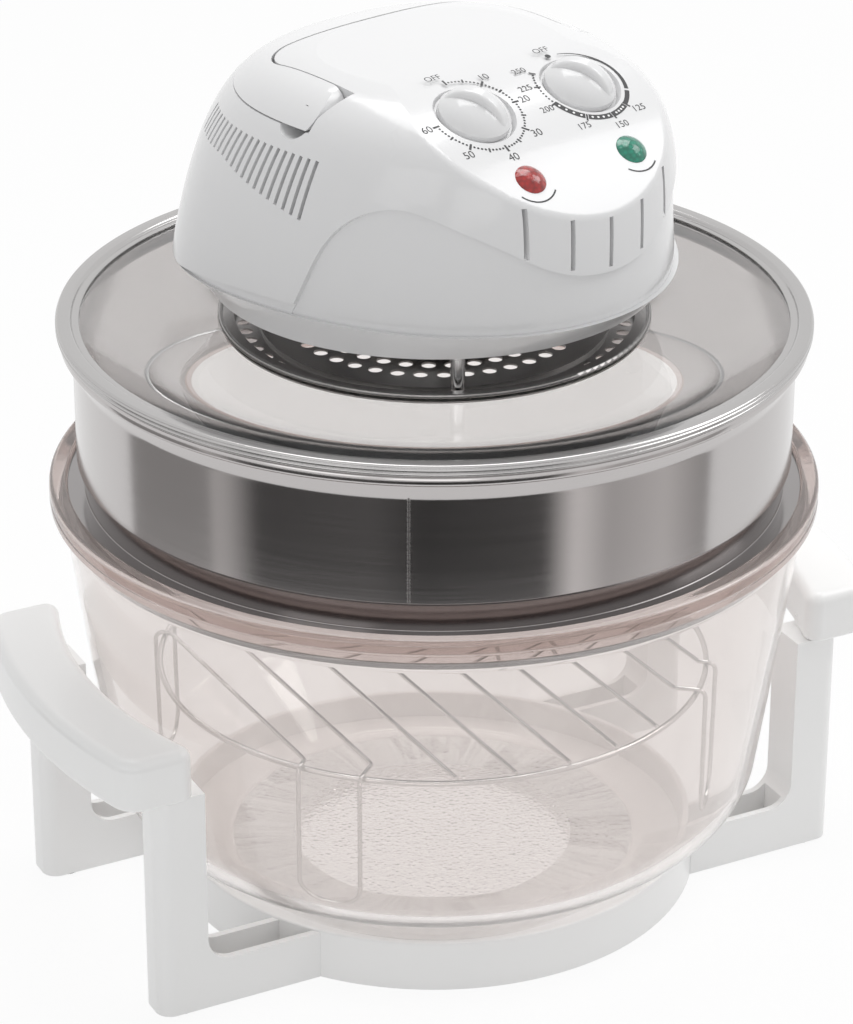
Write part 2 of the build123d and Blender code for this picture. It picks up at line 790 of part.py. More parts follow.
def lower_cover():
    """Shallow dish between the round base and the oval parting line."""
    base = Pos(0, 0, lifted(head_lift)) * Circle(base_radius)
    inner_base = Pos(0, 0, lifted(floor_height)) * Circle(base_radius - cover_wall)
    dish = loft([Sketch() + base, dome_section(parting_height, 0)])
    dish -= loft([Sketch() + inner_base, dome_section(parting_height, housing_wall)])
    dish -= disc(can_radius + seat_gap, lifted(0), lifted(parting_height))
    for place in boss_places():
        dish -= disc(screw_radius + seat_gap, lifted(0), lifted(parting_height), place)
        dish -= disc(screw_head_radius + seat_gap, lifted(0), screw_head_bottom() + screw_head_height, place)
    return dish


def screw_head_bottom():
    """The heads stand a little proud of the underside of the lower cover."""
    return lifted(head_lift) - screw_head_height * 0.4


def cover_screws():
    head_bottom = screw_head_bottom()
    return [disc(screw_head_radius, head_bottom, head_bottom + screw_head_height, place)
            + disc(screw_radius - running_gap, head_bottom, lifted(floor_height + screw_length - 1), place)
            for place in boss_places()]


# ---- carrying handle --------------------------------------------------------------------------------
def carry_handle():
    """The rest of the dome over the recess: two arms and a crossbar, rounded round the pivots."""
    pivot_y, pivot_z = handle_pivot
    handle = dome() & handle_zone(0, handle_swing)
    top = lifted(dome_height + 10)
    ends = block(-150, 150, pivot_y - 50, pivot_y, lifted(0), top)
    handle -= ends - pivot_barrel(handle_end_radius, 400)
    rise = top - lifted(pivot_z) - handle_end_radius
    slope = outline([(pivot_y, handle_end_radius), (pivot_y + rise / tan(radians(handle_end_slope)),
                    handle_end_radius + rise), (pivot_y, handle_end_radius + rise)])
    handle -= Pos(0, 0, lifted(pivot_z)) * extrude(Plane.YZ * slope, 150, both=True)
    return handle - pivot_barrel(pivot_pin_radius + running_gap, 2 * (handle_inside + pin_reach + 1))


def pivot_pins():
    pivot_y, pivot_z = handle_pivot
    start = handle_inside - pin_seat
    length = pin_reach + pin_seat
    pin = Rot(0, 90, 0) * Cylinder(pivot_pin_radius, length)
    return [Pos(s * (start + length / 2), pivot_y, lifted(pivot_z)) * pin for s in (-1, 1)]


def plunger():
    top = lifted(handle_bottom)
    return disc(plunger_radius, top - plunger_length, top - running_gap, plunger_place)


def safety_switch():
    width, length, height = switch_size
    x, y = plunger_place
    top = lifted(handle_bottom) - panel_gap - cover_wall - switch_drop
    body = block(x - width / 2, x + width / 2, y - length / 2, y + length / 2, top - height, top)
    lever_top = lifted(handle_bottom) - plunger_length
    lever = block(x - width / 4, x + width / 4, y - 2, y + 2, top, lever_top)
    return body + lever


# ---- controls ---------------------------------------------------------------------------------------
def cap(radius, height):
    """Segment of a sphere on the plane z = 0."""
    sphere_radius = (radius ** 2 + height ** 2) / (2 * height)
    ball = Pos(0, 0, height - sphere_radius) * Sphere(sphere_radius)
    return ball & Pos(0, 0, height) * Box(4 * radius, 4 * radius, 2 * height)


def knob(place, pointer):
    """Domed knob with a finger ridge, standing in its dish."""
    floor = -dish_depth + panel_gap
    body = Pos(0, 0, floor + knob_base / 2) * Cylinder(knob_radius, knob_base)
    body += Pos(0, 0, floor + knob_base) * cap(knob_radius, knob_height - 3)
    side = ThreePointArc((-knob_radius + 0.5, floor), (0, knob_height), (knob_radius - 0.5, floor))
    side += Line((knob_radius - 0.5, floor), (-knob_radius + 0.5, floor))
    ridge = extrude(Plane.YZ * make_face(side), knob_ridge / 2, both=True)
    crown = ridge.edges().filter_by(GeomType.CIRCLE)
    body += fillet(crown, knob_ridge * 0.3)
    body -= Pos(0, 0, floor) * Cylinder(shaft_radius + running_gap, 2 * shaft_grip)
    return panel_frame(place) * Rot(0, 0, pointer) * body


def control_shaft(place):
    bottom = -panel_thickness - control_drop - shaft_sink
    top = -dish_depth + panel_gap + shaft_grip - running_gap
    return panel_frame(place) * Pos(0, 0, (bottom + top) / 2) * Cylinder(shaft_radius, top - bottom)


def control_body(place, size):
    width, length, depth = size
    top = -panel_thickness - control_drop
    body = Pos(0, 0, top - depth / 2) * Box(width, length, depth)
    body = fillet(body.edges().filter_by(Axis.Z), 3)
    body -= Pos(0, 0, top) * Cylinder(shaft_radius + running_gap, 2 * (shaft_sink + running_gap))
    return panel_frame(place) * body


def lens(place):
    """Domed lens with a barrel that plugs into the panel."""
    barrel = Pos(0, 0, -lens_barrel / 2) * Cylinder(lens_barrel_radius, lens_barrel)
    return panel_frame(place) * (cap(lens_radius, lens_dome) + barrel)


def lamp_holder(place):
    holder = Cylinder(lens_barrel_radius + lamp_holder_wall, lamp_holder_length)
    return panel_frame(place) * Pos(0, 0, -lens_barrel - lamp_holder_length / 2) * holder


# ---- heater -----------------------------------------------------------------------------------------
def reflector():
    """Deep-drawn can over the lamp, with a flange that lies on the floor of the head."""
    radius = can_radius - sheet
    can = bent_sheet([(can_radius, lifted(can_bottom)), (can_radius, lifted(can_top - 6)),
                      (can_radius - 6, lifted(can_top)), (0, lifted(can_top))], sheet)
    flange_bottom = lifted(floor_height)
    shell = revolved(can) + washer(can_radius + can_flange, radius, flange_bottom, flange_bottom + sheet)
    return shell - disc(motor_shaft_radius + seat_gap, lifted(0), lifted(can_top + 1))


def lamp_tube(gap=0.0):
    """Glass tube bent round the fan; with a gap, the room it takes in its end caps."""
    open_angle = 360 - lamp_arc - 2 * degrees_of(gap, lamp_ring_radius)
    arc = CenterArc((0, 0), lamp_ring_radius, 90 + open_angle / 2, 360 - open_angle)
    section = Plane(origin=arc @ 0, z_dir=arc % 0) * Circle(lamp_tube_radius + gap)
    return Pos(0, 0, lifted(lamp_height)) * sweep(section, path=arc)


def lamp_caps():
    """Ceramic ends of the lamp, seated against the can."""
    caps = []
    for side in (-1, 1):
        angle = 90 + side * (360 - lamp_arc) / 2 - side * cap_turn
        body = block(lamp_ring_radius - lamp_tube_radius - 1.5, can_radius - sheet - seat_gap - 1,
                     -cap_length / 2, cap_length / 2, lifted(lamp_height - lamp_tube_radius - 1.5),
                     lifted(lamp_height + lamp_tube_radius + 1.5))
        caps.append(Rot(0, 0, angle) * body - lamp_tube(running_gap))
    return caps


def lamp_clips():
    """Spring plates between the lamp and the wall of the can."""
    clips = []
    for angle in clip_angles:
        plate = block(lamp_ring_radius + lamp_tube_radius + seat_gap, can_radius - sheet - seat_gap,
                      -clip_width / 2, clip_width / 2, lifted(lamp_height - 0.5), lifted(lamp_height + 0.5))
        clips.append(Rot(0, 0, angle) * plate)
    return clips


def fan_wheel(radius, bottom, depth, blades, pitch):
    """Hub with flat blades set at a pitch."""
    hub = washer(fan_hub_radius, motor_shaft_radius + running_gap, bottom, bottom + depth)
    blade = Pos((radius + fan_hub_radius - 1) / 2, 0, bottom + depth / 2) * Rot(pitch, 0, 0) * Box(
        radius - fan_hub_radius + 1, depth / sin(radians(pitch)) * 0.82, sheet)
    wheel = hub
    for k in range(blades):
        wheel += Rot(0, 0, k * 360 / blades) * blade
    return wheel & disc(radius, bottom, bottom + depth)


def motor():
    base = lifted(motor_plate_height) + sheet
    body = disc(motor_radius, base, base + motor_length)
    stack = block(-motor_radius - 6, motor_radius + 6, -motor_radius * 0.8, motor_radius * 0.8,
                  base + 0.25 * motor_length, base + 0.75 * motor_length)
    return body + stack - disc(motor_shaft_radius + running_gap, 0, base + motor_length * bore_share)


def motor_shaft():
    top = lifted(motor_plate_height) + sheet + motor_length * shaft_share
    return disc(motor_shaft_radius, lifted(fan_height), top)


def motor_plate():
    plate = disc(motor_plate_radius, lifted(motor_plate_height), lifted(motor_plate_height) + sheet)
    plate -= disc(motor_shaft_radius + 2, lifted(0), lifted(dome_height))
    return plate


def motor_pillars():
    return [disc(pillar_radius, lifted(floor_height), lifted(motor_plate_height),
                 on_axis(pillar_start + k * 360 / pillar_count, motor_plate_radius - pillar_radius - 1))
            for k in range(pillar_count)]


def insulation():
    pad = disc(can_radius - insulation_inset, lifted(can_top) + sheet, lifted(can_top + insulation_height))
    return pad - disc(motor_shaft_radius + 2, lifted(0), lifted(dome_height))


def terminal_block():
    base = lifted(floor_height)
    length, width, height = terminal_size
    body = block(-length / 2, length / 2, terminal_place - width / 2, terminal_place + width / 2,
                 base, base + height)
    for k in range(terminal_count):
        x = (k - (terminal_count - 1) / 2) * terminal_pitch
        body -= disc(terminal_bore, base + height / 2, base + height + 1, (x, terminal_place))
    return body


def thermal_cutout():
    base = lifted(floor_height)
    wide, cap_step = [disc(radius, base, base + height, (cutout_place, 0)) for radius, height in cutout_steps]
    return wide + cap_step


def cord_gland():
    """Plain bush in the back wall where the mains lead enters."""
    inside = head_back - housing_wall - gland_reach
    bush = washer(gland_radius, gland_radius - gland_wall, 0, head_back + gland_reach - inside)
    bush += washer(gland_radius + gland_collar, gland_radius - gland_wall,
                   head_back + seat_gap - inside, head_back + gland_reach - inside)
    return Pos(0, inside, lifted(gland_height)) * Rot(-90, 0, 0) * bush


# ---- pieces -----------------------------------------------------------------------------------------
save("stand_ring", stand_ring())
for (sx, sy), name in zip(leg_corners, ("right_back", "right_front", "left_back", "left_front")):
    save(f"leg_{name}", leg(sx, sy))
save("leg_screws", leg_screws())
save("foot_pads", foot_pads())
save("grip_right", grip(1))
save("grip_left", grip(-1))
save("glass_bowl", glass_bowl())
save("rack_ring", rack_ring())
save("rack_bars", rack_bars())
for number, name in enumerate(("left", "right")):
    save(f"rack_loop_{name}", rack_loop(loop_offsets[number]))
save("extension_ring", extension_ring())
save("lid_glass", lid_glass())
save("lid_band", lid_band())
save("vent_guard", vent_guard(), turned=True)
save("clamp_ring", clamp_ring())
save("head_posts", head_posts(), turned=True)
save("lower_cover", lower_cover(), turned=True)
save("upper_cover", upper_cover(), turned=True)
save("cover_screws", cover_screws(), turned=True)
save("carry_handle", carry_handle(), turned=True)
save("pivot_pins", pivot_pins(), turned=True)
save("safety_plunger", plunger(), turned=True)
save("safety_switch", safety_switch(), turned=True)
save("timer_knob", knob(dial_places[0], timer_pointer), turned=True)
save("timer_shaft", control_shaft(dial_places[0]), turned=True)
save("timer_body", control_body(dial_places[0], timer_size), turned=True)
save("thermostat_knob", knob(dial_places[1], thermostat_pointer), turned=True)
save("thermostat_shaft", control_shaft(dial_places[1]), turned=True)
save("thermostat_body", control_body(dial_places[1], thermostat_size), turned=True)
save("power_lens", lens(lens_places[0]), turned=True)
save("heat_lens", lens(lens_places[1]), turned=True)
save("power_lamp_holder", lamp_holder(lens_places[0]), turned=True)
save("heat_lamp_holder", lamp_holder(lens_places[1]), turned=True)
save("reflector", reflector(), turned=True)
save("insulation_pad", insulation(), turned=True)
save("halogen_tube", lamp_tube(), turned=True)
save("lamp_caps", lamp_caps(), turned=True)
save("lamp_clips", lamp_clips(), turned=True)
save("hot_air_fan", fan_wheel(fan_radius, lifted(fan_height), fan_depth, fan_blades, 40), turned=True)
save("cooling_fan", fan_wheel(cooling_fan_radius, lifted(can_top + insulation_height + 1), cooling_fan_depth,
                              fan_blades, 30), turned=True)
save("motor_shaft", motor_shaft(), turned=True)
save("motor", motor(), turned=True)
save("motor_plate", motor_plate(), turned=True)
save("motor_pillars", motor_pillars(), turned=True)
save("terminal_block", terminal_block(), turned=True)
save("thermal_cutout", thermal_cutout(), turned=True)
save("cord_gland", cord_gland(), turned=True)
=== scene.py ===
# %% [markdown]
# # A halogen oven, piece by piece
# The oven is a glass bowl in a white stand, a polished steel ring that makes the bowl deeper, and a lid
# with a domed white head on it. The mouldings come from the solid model; the turned glass and steel, which
# show every facet, are made again here as smooth surfaces, and every surface gets its own finish.

# %% Load the solid model
import json
import math

import bmesh
import bpy
import numpy as np
from mathutils import Matrix, Vector


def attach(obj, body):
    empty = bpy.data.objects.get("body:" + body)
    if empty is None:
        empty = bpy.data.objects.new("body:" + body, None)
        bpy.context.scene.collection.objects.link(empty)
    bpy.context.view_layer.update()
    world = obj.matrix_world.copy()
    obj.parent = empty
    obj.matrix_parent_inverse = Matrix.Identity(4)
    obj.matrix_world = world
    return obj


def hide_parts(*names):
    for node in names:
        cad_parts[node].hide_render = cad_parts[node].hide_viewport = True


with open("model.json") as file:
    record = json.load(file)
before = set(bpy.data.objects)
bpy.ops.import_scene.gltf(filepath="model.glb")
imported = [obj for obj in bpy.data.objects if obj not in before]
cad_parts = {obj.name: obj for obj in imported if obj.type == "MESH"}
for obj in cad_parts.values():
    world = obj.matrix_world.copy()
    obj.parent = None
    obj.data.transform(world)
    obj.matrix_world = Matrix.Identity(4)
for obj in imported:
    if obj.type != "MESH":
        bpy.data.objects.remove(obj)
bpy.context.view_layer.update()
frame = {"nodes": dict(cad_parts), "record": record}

nodes = frame["nodes"]

# %% [markdown]
# ## Sums on shader values
# A finish is easier to read as a sum than as a chain of boxes. This small class wraps a socket, so that
# adding or multiplying two of them adds the Math node that does it.

# %% A shader value that can be calculated with
class Signal:
    def __init__(self, tree, socket):
        self.tree = tree
        self.socket = socket

    def sum_node(self, operation, *terms):
        made = self.tree.nodes.new("ShaderNodeMath")
        made.operation = operation
        for target, term in zip(made.inputs, terms):
            if isinstance(term, Signal):
                self.tree.links.new(term.socket, target)
            else:
                target.default_value = term
        return Signal(self.tree, made.outputs[0])

    def __add__(self, other): return self.sum_node("ADD", self, other)
    def __radd__(self, other): return self.sum_node("ADD", other, self)
    def __sub__(self, other): return self.sum_node("SUBTRACT", self, other)
    def __rsub__(self, other): return self.sum_node("SUBTRACT", other, self)
    def __mul__(self, other): return self.sum_node("MULTIPLY", self, other)
    def __rmul__(self, other): return self.sum_node("MULTIPLY", other, self)
    def __truediv__(self, other): return self.sum_node("DIVIDE", self, other)
    def __pow__(self, other): return self.sum_node("POWER", self, other)
    def __abs__(self): return self.sum_node("ABSOLUTE", self)
    def larger(self, other): return self.sum_node("MAXIMUM", self, other)
    def __lt__(self, other): return self.sum_node("LESS_THAN", self, other)
    def __gt__(self, other): return self.sum_node("GREATER_THAN", self, other)


# %% A finish and its nodes
class Finish:
    """A material under construction: node() adds any node, surface() the main shader, show() ends it."""

    def __init__(self, name):
        self.material = bpy.data.materials.new(name)
        self.material.use_nodes = True
        self.tree = self.material.node_tree
        self.tree.nodes.clear()

    def node(self, kind, settings, sockets, output=0):
        made = self.tree.nodes.new("ShaderNode" + kind)
        for name, value in settings.items():
            if name == "stops":
                for place, _ in value[2:]:
                    made.color_ramp.elements.new(place)
                for element, (place, tone) in zip(made.color_ramp.elements, sorted(value)):
                    element.position = place
                    element.color = (*tone, 1)
            else:
                setattr(made, name, value)
        for name, value in sockets.items():
            if isinstance(value, Signal):
                self.tree.links.new(value.socket, made.inputs[name])
            else:
                made.inputs[name].default_value = value
        return Signal(self.tree, made.outputs[output]) if len(made.outputs) else None

    def place(self):
        return self.node("TexCoord", {}, {}, "Object")

    def noise(self, scale, detail=2.0, stretch=(1, 1, 1)):
        where = self.node("Mapping", {}, {"Vector": self.place(), "Scale": stretch})
        return self.node("TexNoise", {}, {"Vector": where, "Scale": scale, "Detail": detail}, 0)

    def axes(self):
        split = self.node("SeparateXYZ", {}, {"Vector": self.place()}, 0)
        outputs = self.tree.nodes[-1].outputs
        return [Signal(self.tree, outputs[k]) for k in range(3)]

    def tones(self, share, low, high):
        return self.node("Mix", {"data_type": "RGBA"}, {0: share, 6: (*low, 1), 7: (*high, 1)}, 2)

    def bump(self, height, distance, strength=1.0):
        return self.node("Bump", {}, {"Height": height, "Distance": distance, "Strength": strength})

    def surface(self, **sockets):
        names = {name.replace("_", " "): value for name, value in sockets.items()}
        return self.node("BsdfPrincipled", {}, names)

    def show(self, shader):
        self.node("OutputMaterial", {}, {"Surface": shader})
        return self.material


# %% [markdown]
# ## Moulded plastic
# The stand, the head and the handle are injection moulded in glossy white. Real mouldings are never quite
# flat: the gloss drifts a little over a hand's breadth and the skin has a very fine ripple, so a soft noise
# moves the roughness and a finer one the bump, both far below what the eye reads as texture.

# %% White mouldings
def moulded(name, tone, roughness, ripple=0.00002):
    finish = Finish(name)
    drift = finish.noise(9, 2)
    dull = tuple(channel * 0.975 for channel in tone)
    skin = finish.bump(finish.noise(260, 3), ripple, 0.6)
    return finish.show(finish.surface(Base_Color=finish.tones(drift, dull, tone),
                                      Roughness=roughness + drift * 0.06, Normal=skin,
                                      IOR=1.49, Coat_Weight=0.25, Coat_Roughness=0.06))


# %% [markdown]
# ## Glass
# Both glasses are clear; the bowl has a faint smoky tint. Light that goes through to the rack would need
# many rays to find its way, so for shadow rays and light bounced off matt surfaces the glass is simply a
# tinted, see-through sheet. The bowl's thick rim is painted a darker brown, as painted shade for the light
# lost bouncing inside the thick glass. Its floor has a stippled pattern, which is a fine cell texture kept
# to a small circle.

# %% Clear and tinted glass
rim_bottom, floor_radius, floor_top = 0.1832, 0.089, 0.0165


def glass(name, tint, shade, clearness, painted_rim_shade=None):
    """Tint of the body, shade of the shadow, and share of light let through; a painted rim shade, a darker
    brown painted above rim_bottom, marks the bowl.
    """
    finish = Finish(name)
    wave = finish.noise(14, 1)
    height = wave * 0.12
    colour = finish.tones(wave, tint, tuple(c * 0.99 for c in tint))
    if painted_rim_shade:
        # painted shade: the thick rim above rim_bottom is painted darker brown, for light lost bouncing
        # inside the glass
        x, y, z = finish.axes()
        painted_rim_brown = (*painted_rim_shade, 1)
        colour = finish.node("Mix", {"data_type": "RGBA"}, {0: z > rim_bottom, 6: colour, 7: painted_rim_brown}, 2)
        floor = ((x * x + y * y) < floor_radius ** 2) * (z < floor_top)
        cells = finish.node("TexVoronoi", {}, {"Vector": finish.place(), "Scale": 520.0})
        height = height + cells * floor * 5.0
    body = finish.surface(Base_Color=colour, Roughness=0.0, Transmission_Weight=clearness, IOR=1.47,
                          Normal=finish.bump(height, 0.00006, 0.7))
    clear = finish.node("BsdfTransparent", {}, {"Color": (*shade, 1)})
    shadow, diffuse = [finish.node("LightPath", {}, {}, name) for name in ("Is Shadow Ray", "Is Diffuse Ray")]
    through = shadow.larger(diffuse)
    return finish.show(finish.node("MixShader", {}, {0: through, 1: body, 2: clear}))


# %% [markdown]
# ## Metals
# Rolled sheet keeps fine lines along the rolling direction, which on the ring run round it. They are noise
# that is squeezed in height and drawn out along the ring. Plated wire has no such grain and is almost a
# mirror.

# %% Rolled, spun and plated metal
def metal(name, tone, roughness, grain=0.0, stretch=(1, 1, 60), stain=0.04):
    finish = Finish(name)
    lines = finish.noise(12, 4, stretch)
    cloud = finish.noise(7, 3)
    dark = tuple(channel * (1 - stain * 3) for channel in tone)
    rough = roughness + lines * grain + cloud * stain
    colour = finish.tones(cloud, dark, tone)
    return finish.show(finish.surface(Base_Color=colour, Metallic=1.0, Roughness=rough,
                                      Normal=finish.bump(lines, 0.00002, grain)))


# %% The steel ring, with the weld that closes it and painted shade on its waist
seam_bottom, seam_top, crease_level = 0.2045, 0.2505, 0.2042


def seamed_steel(name, tone, roughness, seam_angle):
    """Polished steel with a fine dark weld line, and painted shade: the outside of the waist under the crease
    is painted dark where it drops to the bowl's rim.
    """
    finish = Finish(name)
    x, y, z = finish.axes()
    lines = finish.noise(12, 4, (1, 1, 70))
    cloud = finish.noise(6, 3)
    off_seam = abs(finish.node("Math", {"operation": "ARCTAN2"}, {0: y, 1: x}) - seam_angle)
    upright = (z > seam_bottom) * (z < seam_top)
    seam, edge = (off_seam < 0.0042) * upright, (off_seam < 0.0016) * upright
    colour = finish.tones(cloud, tuple(c * 0.93 for c in tone), tone)
    outside = (x * x + y * y) > 0.0222 + (z - 0.1895) * 0.05
    # painted shade: the outside below the crease is darkened for the shade between the ring and the bowl's
    # rim; the weld's edge is a real dark joint
    dark = edge * 0.75 + outside * (z < crease_level) * 0.5
    colour = finish.node("Mix", {"data_type": "RGBA"}, {0: dark, 6: colour, 7: (0.12, 0.11, 0.11, 1)}, 2)
    rough = roughness + lines * 0.08 + cloud * 0.03 + seam * 0.12
    return finish.show(finish.surface(Base_Color=colour, Metallic=1.0, Roughness=rough,
                                      Normal=finish.bump(lines * 0.12 - edge * 2.0, 0.00004, 0.5)))


# %% [markdown]
# ## Small finishes
# Signal lenses are clear coloured plastic with a cut pattern behind the dome, so a cell texture bends the
# light in them, and a faint emission paints a glow into them. Ceramic, pressed fibre and rubber are matt and
# slightly mottled.

# %% Lenses, ceramic, fibre and rubber
def lens_plastic(name, tone):
    finish = Finish(name)
    cut = finish.node("TexVoronoi", {}, {"Vector": finish.place(), "Scale": 520.0})
    deep = tuple(channel * 0.35 for channel in tone)
    # painted glow: a faint emission in the lens colour makes the lens shine without a lamp
    return finish.show(finish.surface(Base_Color=finish.tones(cut, tone, deep), Roughness=0.12 + cut * 0.05,
                                      Normal=finish.bump(cut, 0.0004, 0.5), IOR=1.5, Coat_Weight=0.6,
                                      Emission_Color=finish.tones(cut, tone, deep), Emission_Strength=0.12))


def mottled(name, tone, roughness, scale, depth):
    finish = Finish(name)
    fine = finish.noise(scale, 4)
    dark = tuple(channel * 0.86 for channel in tone)
    colour = finish.tones(fine, dark, tone)
    return finish.show(finish.surface(Base_Color=colour, Roughness=roughness + fine * 0.1,
                                      Normal=finish.bump(fine, depth, 0.6)))


# %% One finish for each material slot
weld_angle = math.radians(238.9 - 360)
slot_finish = {
    "stand_white": moulded("stand moulding", (0.86, 0.86, 0.855), 0.26),
    "head_white": moulded("head moulding", (0.75, 0.75, 0.755), 0.15),
    "handle_white": moulded("handle moulding", (0.76, 0.76, 0.765), 0.16),
    "knob_white": moulded("dial moulding", (0.77, 0.77, 0.775), 0.13),
    "bowl_glass": glass("smoky bowl glass", (0.895, 0.86, 0.845), (0.96, 0.945, 0.94), 0.88,
                        (0.52, 0.42, 0.39)),
    "lid_glass": glass("lid glass", (0.97, 0.98, 0.98), (0.97, 0.98, 0.98), 1.0),
    "lamp_glass": glass("lamp quartz", (0.97, 0.95, 0.92), (0.95, 0.94, 0.92), 1.0),
    "ring_steel": seamed_steel("polished ring", (0.52, 0.50, 0.495), 0.10, weld_angle),
    "band_steel": metal("rolled band", (0.50, 0.49, 0.485), 0.12, 0.06),
    "guard_steel": metal("punched guard", (0.30, 0.29, 0.285), 0.20, 0.06, (1, 1, 1)),
    "wire_chrome": metal("chromed wire", (0.72, 0.71, 0.70), 0.08, 0.0, (1, 1, 1), 0.02),
    "post_chrome": metal("chromed post", (0.70, 0.70, 0.70), 0.10, 0.0, (1, 1, 1), 0.02),
    "fixing_steel": metal("plated fixing", (0.55, 0.55, 0.54), 0.28, 0.05, (1, 1, 1)),
    "reflector_metal": metal("bright reflector", (0.72, 0.72, 0.72), 0.14, 0.05, (1, 1, 30)),
    "fan_metal": metal("fan sheet", (0.60, 0.60, 0.60), 0.30, 0.06, (1, 1, 1)),
    "motor_steel": metal("motor laminations", (0.34, 0.34, 0.35), 0.38, 0.10, (1, 1, 260)),
    "rubber": mottled("foot rubber", (0.045, 0.045, 0.045), 0.75, 400, 0.00008),
    "ceramic_white": mottled("ceramic", (0.72, 0.70, 0.66), 0.60, 300, 0.00005),
    "insulation": mottled("pressed fibre", (0.56, 0.54, 0.49), 0.90, 160, 0.0003),
    "switch_black": mottled("switch plastic", (0.03, 0.03, 0.03), 0.45, 500, 0.00002),
    "terminal_plastic": mottled("terminal plastic", (0.62, 0.61, 0.55), 0.42, 500, 0.00002),
    "gland_plastic": mottled("bush plastic", (0.68, 0.68, 0.68), 0.40, 500, 0.00002),
    "red_lens": lens_plastic("red lens", (0.42, 0.008, 0.006)),
    "green_lens": lens_plastic("green lens", (0.0, 0.24, 0.15)),
}
node_slot = {part["node"]: part["material_slot"] for part in frame["record"]["subparts"]}
for name, node in nodes.items():
    node.data.materials.clear()
    node.data.materials.append(slot_finish[node_slot[name]])
print("finishes:", len(slot_finish))

# %% [markdown]
# ## Smooth shading for the mouldings
# A solid model arrives as loose triangles. Merging their corners and shading everything smooth except at
# edges sharper than a set angle gives back the curved skins, and weighting the normals by area keeps the
# flats flat.

# %% Merge and shade smooth by angle
def smooth_group(angle):
    """Geometry nodes: merge by distance, then shade faces smooth and edges sharp where they turn more."""
    group = bpy.data.node_groups.new("merge and smooth", "GeometryNodeTree")
    group.interface.new_socket("Geometry", in_out="INPUT", socket_type="NodeSocketGeometry")
    group.interface.new_socket("Geometry", in_out="OUTPUT", socket_type="NodeSocketGeometry")
    add = group.nodes.new
    start, end = add("NodeGroupInput"), add("NodeGroupOutput")
    merge, turn = add("GeometryNodeMergeByDistance"), add("GeometryNodeInputMeshEdgeAngle")
    flat = add("FunctionNodeCompare")
    faces, edges = add("GeometryNodeSetShadeSmooth"), add("GeometryNodeSetShadeSmooth")
    merge.inputs["Distance"].default_value = 0.000002
    flat.operation = "LESS_THAN"
    flat.inputs["B"].default_value = angle
    edges.domain = "EDGE"
    link = group.links.new
    link(start.outputs[0], merge.inputs["Geometry"])
    link(merge.outputs[0], faces.inputs["Geometry"])
    link(faces.outputs[0], edges.inputs["Geometry"])
    link(turn.outputs["Unsigned Angle"], flat.inputs["A"])
    link(flat.outputs[0], edges.inputs["Shade Smooth"])
    link(edges.outputs[0], end.inputs[0])
    return group


smooth_by_angle = smooth_group(math.radians(32))
for node in nodes.values():
    node.modifiers.new("merge and smooth", "NODES").node_group = smooth_by_angle
    weighted = node.modifiers.new("weighted normals", "WEIGHTED_NORMAL")
    weighted.keep_sharp = True
print("smoothed", len(nodes), "nodes")

# %% [markdown]
# ## Surfaces of revolution
# Everything round on the oven is one outline carried round the Z axis. The outline is a list of corners,
# each with the radius it is rounded by; the surface is a grid of that outline by angle.

# %% A rounded outline, and a surface turned from it
def rounded_path(corners, closed=False, steps=6):
    """Corners of (radius, height, rounding) or (x, y, z, rounding) in millimetres, each replaced by a tangent
    arc, in metres.

    For a corner between unit directions a and b, the arc's centre lies rounding / sin(half angle) along
    a + b, and the arc is swept between the two tangent points by spherical interpolation."""
    points = np.array([corner[:-1] for corner in corners], float) / 1000
    path = []
    share = np.linspace(0, 1, steps)[:, None]
    for k, here in enumerate(points):
        rounding = corners[k][-1]
        if rounding == 0 or (not closed and k in (0, len(corners) - 1)):
            path.append(here[None])
            continue
        before, after = points[k - 1] - here, points[(k + 1) % len(points)] - here
        before, after = before / np.linalg.norm(before), after / np.linalg.norm(after)
        half = math.acos(np.clip(before @ after, -1, 1)) / 2
        middle = (before + after) / np.linalg.norm(before + after)
        reach = rounding / 1000
        centre = here + middle * reach / math.sin(half)
        first = (here + before * reach / math.tan(half) - centre) / reach
        last = (here + after * reach / math.tan(half) - centre) / reach
        sweep = math.pi - 2 * half
        arc = (np.sin((1 - share) * sweep) * first + np.sin(share * sweep) * last) / math.sin(sweep)
        path.append(centre + arc * reach)
    return np.vstack(path)


def add_piece(name, points, faces, body, slot, stands_for=(), finish=None):
    mesh = bpy.data.meshes.new(name)
    mesh.from_pydata(points.tolist(), [], faces.tolist() if hasattr(faces, "tolist") else faces)
    work = bmesh.new()
    work.from_mesh(mesh)
    bmesh.ops.remove_doubles(work, verts=work.verts, dist=1e-7)
    work.to_mesh(mesh)
    work.free()
    mesh.polygons.foreach_set("use_smooth", np.ones(len(mesh.polygons), bool))
    mesh.materials.append(finish or slot_finish[slot])
    piece = bpy.data.objects.new(name, mesh)
    bpy.context.scene.collection.objects.link(piece)
    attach(piece, body)
    if stands_for:
        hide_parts(*stands_for)
    print(name, len(mesh.polygons), "faces")
    return piece


def grid_faces(rows, columns, rows_close=True, columns_close=True):
    """Quads of a grid of points that may close on itself either way."""
    i = np.arange(rows if rows_close else rows - 1)[:, None]
    j = np.arange(columns if columns_close else columns - 1)[None]
    far, up = (i + 1) % rows, (j + 1) % columns
    corners = [i * columns + j, far * columns + j, far * columns + up, i * columns + up]
    return np.stack(corners, -1).reshape(-1, 4)


def turned(profile, segments=256, closed=True):
    """Point (i, j) is the outline's j-th point at angle i: (r cos, r sin, z)."""
    angle = np.linspace(0, 2 * np.pi, segments, endpoint=False)
    r, z = profile.T
    points = np.stack([np.outer(np.cos(angle), r), np.outer(np.sin(angle), r),
                       np.broadcast_to(z, (segments, len(z)))], -1).reshape(-1, 3)
    return points, grid_faces(segments, len(r), columns_close=closed)


